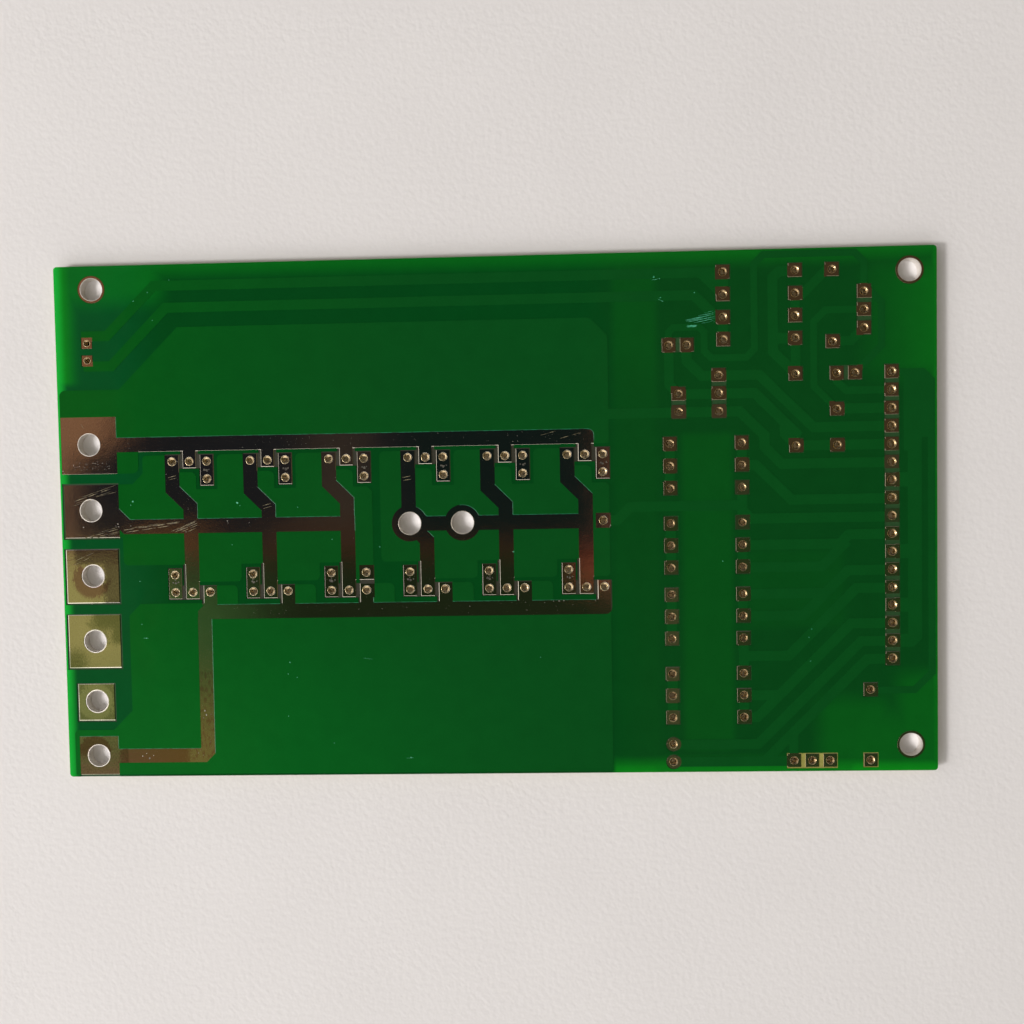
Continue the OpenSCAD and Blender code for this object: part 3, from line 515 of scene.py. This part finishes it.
def metal_scratches(bm):
    # the second terminal
    for x0, y0, x1, y1, w, parts in (
        (2.3, 40.6, 8.2, 42.5, 0.09, 3), (2.5, 40.3, 8.5, 42.2, 0.06, 2), (3.4, 41.2, 7.7, 42.6, 0.05, 2),
        (2.0, 39.9, 5.2, 40.9, 0.05, 2), (5.6, 41.2, 8.6, 41.9, 0.05, 2), (3.6, 35.2, 8.7, 36.5, 0.09, 3),
        (4.4, 35.2, 8.8, 36.1, 0.07, 3), (5.4, 35.2, 8.8, 35.9, 0.05, 2), (5.8, 36.0, 8.8, 36.8, 0.04, 2),
        (6.7, 42.3, 8.6, 42.9, 0.04, 1),
        # across the bar towards the first drop
        (9.4, 36.3, 18.0, 37.4, 0.12, 4), (9.8, 36.0, 16.8, 36.9, 0.10, 3), (11.8, 36.6, 18.1, 37.3, 0.08, 3),
        (10.6, 36.6, 15.2, 37.2, 0.06, 2), (17.0, 35.9, 20.3, 37.5, 0.11, 2), (17.2, 36.2, 20.4, 37.6, 0.08, 2),
        (17.6, 36.1, 20.4, 37.2, 0.12, 2), (17.9, 35.9, 20.4, 36.9, 0.07, 2), (18.2, 36.7, 20.4, 37.7, 0.06, 1),
        (16.4, 36.0, 19.5, 37.2, 0.06, 2), (18.8, 35.9, 20.4, 36.6, 0.07, 1), (13.2, 36.8, 18.2, 37.5, 0.06, 2),
        # the fourth, fifth and sixth drops and the upper bar
        (29.9, 39.5, 31.4, 39.9, 0.08, 1), (30.0, 39.1, 31.5, 39.5, 0.06, 1), (50.3, 43.2, 51.8, 43.5, 0.10, 1),
        (50.4, 42.8, 51.7, 43.0, 0.07, 1), (16.2, 43.8, 17.8, 44.2, 0.08, 1), (16.3, 43.5, 17.7, 43.8, 0.05, 1),
        (70.2, 48.9, 72.5, 49.5, 0.05, 2), (73.0, 48.4, 76.4, 49.3, 0.06, 2), (2.3, 32.0, 5.2, 33.2, 0.07, 2),
        (1.9, 31.3, 4.6, 32.5, 0.05, 2), (4.0, 51.1, 3.5, 52.0, 0.05, 1),
    ):
        scratch(bm, x0, y0, x1, y1, w, 1.572, parts)


def solder_marks(bm):
    for x, y, r in (
        (8.6, 37.2, 0.16), (8.7, 36.8, 0.12), (8.3, 36.9, 0.08), (10.5, 36.9, 0.12), (3.5, 36.8, 0.11),
        (24.7, 37.4, 0.12), (24.8, 37.1, 0.07), (18.6, 35.9, 0.08), (19.0, 39.2, 0.08), (27.9, 37.1, 0.08),
        (17.6, 46.1, 0.09), (15.9, 44.3, 0.07), (40.6, 43.4, 0.08), (0.9, 44.7, 0.16), (0.75, 45.0, 0.10),
        (4.4, 25.6, 0.14), (20.6, 9.7, 0.20), (20.8, 9.1, 0.17), (21.5, 9.2, 0.10), (20.4, 8.7, 0.10),
        (11.2, 3.1, 0.16), (11.8, 3.5, 0.12), (12.2, 2.8, 0.20), (12.8, 3.2, 0.10), (20.2, 3.2, 0.08),
        (19.5, 3.5, 0.07), (21.3, 5.1, 0.08), (72.5, 25.1, 0.14), (73.2, 25.15, 0.12), (71.7, 25.1, 0.10),
        (70.4, 24.9, 0.08), (77.7, 25.1, 0.10), (65.9, 32.3, 0.07), (13.0, 46.9, 0.05),
    ):
        fleck(bm, x, y, r * 0.75, 1.570)
    for i in range(46):
        fleck(bm, rng.uniform(2.2, 7.6), rng.uniform(45.1, 46.3), rng.uniform(0.03, 0.07), 1.570, 6)
    for i in range(60):
        fleck(bm, rng.uniform(10, 77), rng.uniform(47.9, 49.5), rng.uniform(0.02, 0.05), 1.570, 6)
    for i in range(34):
        fleck(bm, rng.uniform(24, 79), rng.uniform(23.5, 25.0), rng.uniform(0.02, 0.05), 1.570, 6)


def flux_marks(bm):
    # flux dried between the paired holes
    for i in range(6):
        cx = 19.35 + 11.43 * i
        for dx, dy, r in ((2.25, 44.85, 0.24), (2.6, 44.75, 0.30), (2.95, 44.9, 0.18), (-2.75, 28.55, 0.26),
                          (-2.4, 28.45, 0.30), (-2.1, 28.6, 0.18), (-2.5, 28.85, 0.14)):
            fleck(bm, cx + dx + rng.uniform(-0.1, 0.1), dy, r * rng.uniform(0.7, 1.0), 1.563, 13)


def fillets(bm, nodes):
    """Tin drawn down inside the mouth of each lead hole."""
    for node, reach in nodes:
        src = bmesh.new()
        src.from_mesh(NODES[node].data)
        bmesh.ops.remove_doubles(src, verts=src.verts, dist=1e-7)
        left = set(src.verts)
        while left:
            todo = [left.pop()]
            island = []
            while todo:
                v = todo.pop()
                island.append(v)
                for e in v.link_edges:
                    o = e.other_vert(v)
                    if o in left:
                        left.discard(o)
                        todo.append(o)
            xs, ys = [v.co.x for v in island], [v.co.y for v in island]
            cx, cy = (min(xs) + max(xs)) / 2, (min(ys) + max(ys)) / 2
            top = max(v.co.z for v in island)
            r = min(math.hypot(v.co.x - cx, v.co.y - cy) for v in island) - 0.000012
            seed = rng.uniform(0, 6.28)
            rings = []
            for i in range(20):
                a = math.tau * i / 20
                q = r - (reach + 0.03 * math.sin(2 * a + seed) + rng.uniform(-0.012, 0.012)) / 1000
                c, k = math.cos(a), math.sin(a)
                rings.append([bm.verts.new((cx + r * c, cy + r * k, top - 0.000010)),
                              bm.verts.new((cx + q * c, cy + q * k, top - 0.000150)),
                              bm.verts.new((cx + r * c, cy + r * k, top - 0.000260))])
            for i in range(20):
                a, b = rings[i], rings[(i + 1) % 20]
                for k in range(3):
                    m = (k + 1) % 3
                    bm.faces.new((a[k], b[k], b[m], a[m]))
        src.free()


def leg_fillets(bm):
    fillets(bm, (("barrels_transistor", 0.19),))


def pin_fillets(bm):
    fillets(bm, (("barrels_header", 0.16), ("barrels_lead", 0.16)))


def mask_lip_highlights(bm):
    """The thin sloping edge of the ink on the copper, built only on the sides that face the light, in a lighter teal
    than the ink: a painted highlight.
    """
    src = bmesh.new()
    src.from_mesh(NODES["front_mask"].data)
    bmesh.ops.remove_doubles(src, verts=src.verts, dist=1e-7)
    top = max(v.co.z for v in src.verts)
    hi, lo = top, top - 0.0000265
    for e in src.edges:
        a, b = (v.co for v in e.verts)
        if len(e.link_faces) != 2 or min(a.z, b.z) < top - 1e-6 or (a - b).length < 0.00025:
            continue
        walls = [f for f in e.link_faces if abs(f.normal.z) < 0.3]
        if len(walls) != 1 or min(v.co.z for v in walls[0].verts) > lo:
            continue
        out = walls[0].normal.copy()
        out.z = 0
        out.normalize()
        m = (a + b) / 2
        if out.x * -0.8 + out.y * -0.6 < 0.45 or m.x * 1000 + GX > 81 or m.x * 1000 + GX < 0.4 or m.y * 1000 + GY < 0.4:
            continue
        o = out * 0.00007
        ring = []
        for q in (a, b):
            ring.append([bm.verts.new(Vector((q.x, q.y, hi))), bm.verts.new(Vector((q.x, q.y, lo))),
                         bm.verts.new(Vector((q.x + o.x, q.y + o.y, lo)))])
        (a0, a1, a2), (b0, b1, b2) = ring
        for f in ((a0, b0, b1, a1), (a1, b1, b2, a2), (a2, b2, b0, a0), (a0, a1, a2), (b2, b1, b0)):
            bm.faces.new(f)
    src.free()


TEAL = mark_material("rubbed_ink", srgb(28, 136, 94), srgb(92, 196, 160), 0.35)
DULL = mark_material("dull_burr", srgb(70, 62, 46), srgb(150, 140, 106), 0.4)
# a lighter teal for the ink edges that stands for the light they catch: a painted highlight
LIP_HIGHLIGHT = mark_material("ink_edge_painted_highlight", srgb(6, 70, 44), srgb(14, 118, 80), 0.3, 1.2, 0.25)
FLUX = mark_material("dry_flux", srgb(40, 38, 32), srgb(98, 94, 82), 0.5, 3.4)
GREY = mark_material("dull_solder", srgb(96, 92, 84), srgb(196, 190, 178), 0.3, 2.0)
wear("mask_flecks", TEAL, mask_marks)
wear("mask_scratches", TEAL, mask_scratches)
wear("metal_scratches", DULL, metal_scratches)
wear("solder_flecks", GREY, solder_marks)
wear("flux_film", FLUX, flux_marks)
TIN = barrel_material("tinned_hole_mouth", srgb(132, 111, 80), srgb(178, 155, 118), 0.13)
BRIGHT_TIN = barrel_material("bright_tin", srgb(172, 150, 114), srgb(216, 196, 160), 0.13)
wear("leg_fillets", BRIGHT_TIN, leg_fillets)
wear("pin_fillets", TIN, pin_fillets)
# ink edges only on the sides facing the light, in the lighter teal: a painted highlight
wear("mask_edge_highlights", LIP_HIGHLIGHT, mask_lip_highlights)

# ---------------------------------------------------------------- floor
bpy.ops.mesh.primitive_plane_add(size=3.0, location=(0, 0, 0))
floor = bpy.context.object
floor.name = "floor"
mat, n = material("paper")
pc = n.node("ShaderNodeTexCoord").outputs["Object"]
soft = n.noise(pc, 60.0, 1.0, 0.5)
grain = n.noise(pc, 1200.0, 1.0, 0.6)
f = n.add(n.mul(soft, 0.6), n.mul(grain, 0.4))
n.out(n.mix(f, (0.79, 0.776, 0.787), (0.86, 0.847, 0.858)), 0.85, normal=n.bump(grain, 0.15, 0.0003))
dress(floor, mat)

# ---------------------------------------------------------------- light
world = bpy.data.worlds.new("studio")
scene.world = world
world.use_nodes = True
world.cycles.sampling_method = "NONE"
w = Net(world.node_tree)
d = w.node("ShaderNodeTexCoord").outputs["Generated"]
s = w.node("ShaderNodeSeparateXYZ")
w.put(s.inputs[0], d)
dx, dy, dz = s.outputs
zz = w.m("MAXIMUM", dz, 0.1)
gx = w.add(70.9, w.mul(w.m("DIVIDE", dx, zz), 143.0))
gy = w.add(43.2, w.mul(w.m("DIVIDE", dy, zz), 143.0))
# what hangs overhead: a dark patch, brown round it, olive towards the lower left
far = w.step(gx, 17, 8)
col_a = w.mix(w.step(gy, 13.5, 18), (0.21, 0.24, 0.085), (0.33, 0.31, 0.115))
col_a = w.mix(w.step(gy, 8.5, 5.5), col_a, (0.155, 0.16, 0.062))
col_a = w.mix(w.step(gy, 2.4, 1.2), col_a, (0.24, 0.145, 0.095))
col_b = w.mix(w.step(gy, 3, 21), (0.17, 0.15, 0.045), (0.036, 0.092, 0.028))
col_b = w.mix(w.step(gy, 25.5, 29), col_b, (0.030, 0.050, 0.019))
low = w.mix(w.step(gx, 35, 20), (0.013, 0.021, 0.009), col_b)
low = w.mix(far, low, col_a)
brown = w.mix(w.step(gx, 27, 20), (0.052, 0.021, 0.011), (0.085, 0.036, 0.017))
brown = w.mix(w.step(gx, 72, 75), brown, (0.044, 0.013, 0.011))
brown = w.mix(w.step(gx, 12, 6), brown, (0.22, 0.115, 0.066))
blob = w.mul(w.mul(w.step(gx, 74, 76), w.step(gx, 80, 78)), w.mul(w.step(gy, 27, 28), w.step(gy, 33.4, 30.5)))
low = w.mix(blob, low, w.mix(w.step(gy, 28.4, 30.0), (0.23, 0.10, 0.05), (0.17, 0.050, 0.036)))
around = w.mix(w.step(gy, 33.0, 31.6), brown, low)
# edge of the dark patch: slanting across the first terminal, then down its left side
slant = w.step(w.sub(w.sub(gy, 46.6), w.mul(w.sub(gx, 2.4), 0.42)), 0.9, -0.9)
patch = w.m("MAXIMUM", slant, w.step(gx, 8.4, 12.0))
patch = w.mul(patch, w.step(gx, 1.0, 3.4))
lower = w.step(gy, 44.6, 44.0)
patch = w.mul(w.mul(patch, w.step(gy, 33.2, 34.6)), w.step(gx, 79.6, 78.4))
around = w.mix(w.mul(w.mul(lower, w.step(gy, 33.6, 34.4)), 0.45), around, (0.03, 0.03, 0.03))
dusk = w.mix(w.step(gx, 47, 54), (0.0115, 0.0125, 0.0155), (0.0065, 0.0120, 0.0115))
warm = w.mul(w.mul(w.step(gx, 33, 39), w.step(gx, 48, 44)), w.lerp(gy, 50, 36, 0.65, 1.0))
dusk = w.mix(warm, dusk, (0.042, 0.031, 0.024))
rust = w.mul(w.mul(w.step(gx, 9, 12), w.step(gx, 26, 19)), w.step(gy, 37.3, 36.0))
dusk = w.mix(rust, dusk, (0.105, 0.050, 0.022))
dusk = w.mix(w.mul(w.step(gx, 26, 34), w.mul(w.step(gy, 38.0, 37.2), w.step(gx, 50, 46))), dusk, (0.040, 0.025, 0.018))
over = w.mix(patch, around, dusk)
right = w.mix(w.step(gy, 34, 50), (0.023, 0.045, 0.017), (0.058, 0.043, 0.025))
right = w.mix(w.mul(w.step(gx, 98, 92), w.step(gy, 34, 22)), right, (0.056, 0.074, 0.036))
right = w.mix(w.step(gx, 85, 82), right, (0.09, 0.045, 0.030))
over = w.mix(w.mul(w.step(gx, 78.4, 79.6), w.step(gy, 24.5, 26)), over, right)
over = w.mix(w.step(gx, 82, 85), over, right)
# pale surroundings, brighter from the lower left
az = w.add(w.mul(dx, -0.8), w.mul(dy, -0.6))
level = w.mul(w.step(dz, 0.26, 0.34), w.step(dz, 0.66, 0.58))
dim = w.mix(w.step(dy, -0.1, 0.9), (0.24, 0.19, 0.07), (0.28, 0.31, 0.36))
dim = w.mix(w.mul(level, 0.85), dim, (0.04, 0.04, 0.03))
dim = w.mix(w.step(dz, 0.16, 0.06), dim, (0.50, 0.485, 0.46))
lit = w.mix(w.step(dz, 0.26, 0.34), (1.40, 1.35, 1.30), w.mix(level, (0.60, 0.57, 0.55), (2.05, 1.96, 1.88)))
pale = w.mix(w.step(az, -0.1, 0.75), dim, lit)
high = w.mix(w.step(az, -0.5, 0.4), (0.26, 0.23, 0.16), (0.85, 0.80, 0.78))
pale = w.mix(w.step(dz, 0.64, 0.74), pale, high)
inside = w.mul(w.mul(w.step(gx, -22, -10), w.step(gx, 152, 140)), w.mul(w.step(gy, -20, -8), w.step(gy, 96, 84)))
inside = w.mul(inside, w.step(dz, 0.2, 0.3))
bg = w.node("ShaderNodeBackground")
w.put(bg.inputs[0], w.mix(inside, pale, over))
bg.inputs[1].default_value = 1.0
o = w.node("ShaderNodeOutputWorld")
world.node_tree.links.new(bg.outputs[0], o.inputs[0])


def area_light(name, at, target, size, watts, colour):
    data = bpy.data.lights.new(name, "AREA")
    data.shape = "DISK"
    data.size = size
    data.energy = watts
    data.color = colour
    ob = bpy.data.objects.new(name, data)
    scene.collection.objects.link(ob)
    ob.matrix_world = Matrix.Translation(at) @ (Vector(target) - Vector(at)).to_track_quat("-Z", "Y").to_matrix().to_4x4()
    return ob


area_light("key", Vector((-0.90, -0.30, 0.76)), (0, 0, 0), 0.25, 8.3, (1.0, 0.965, 0.94))
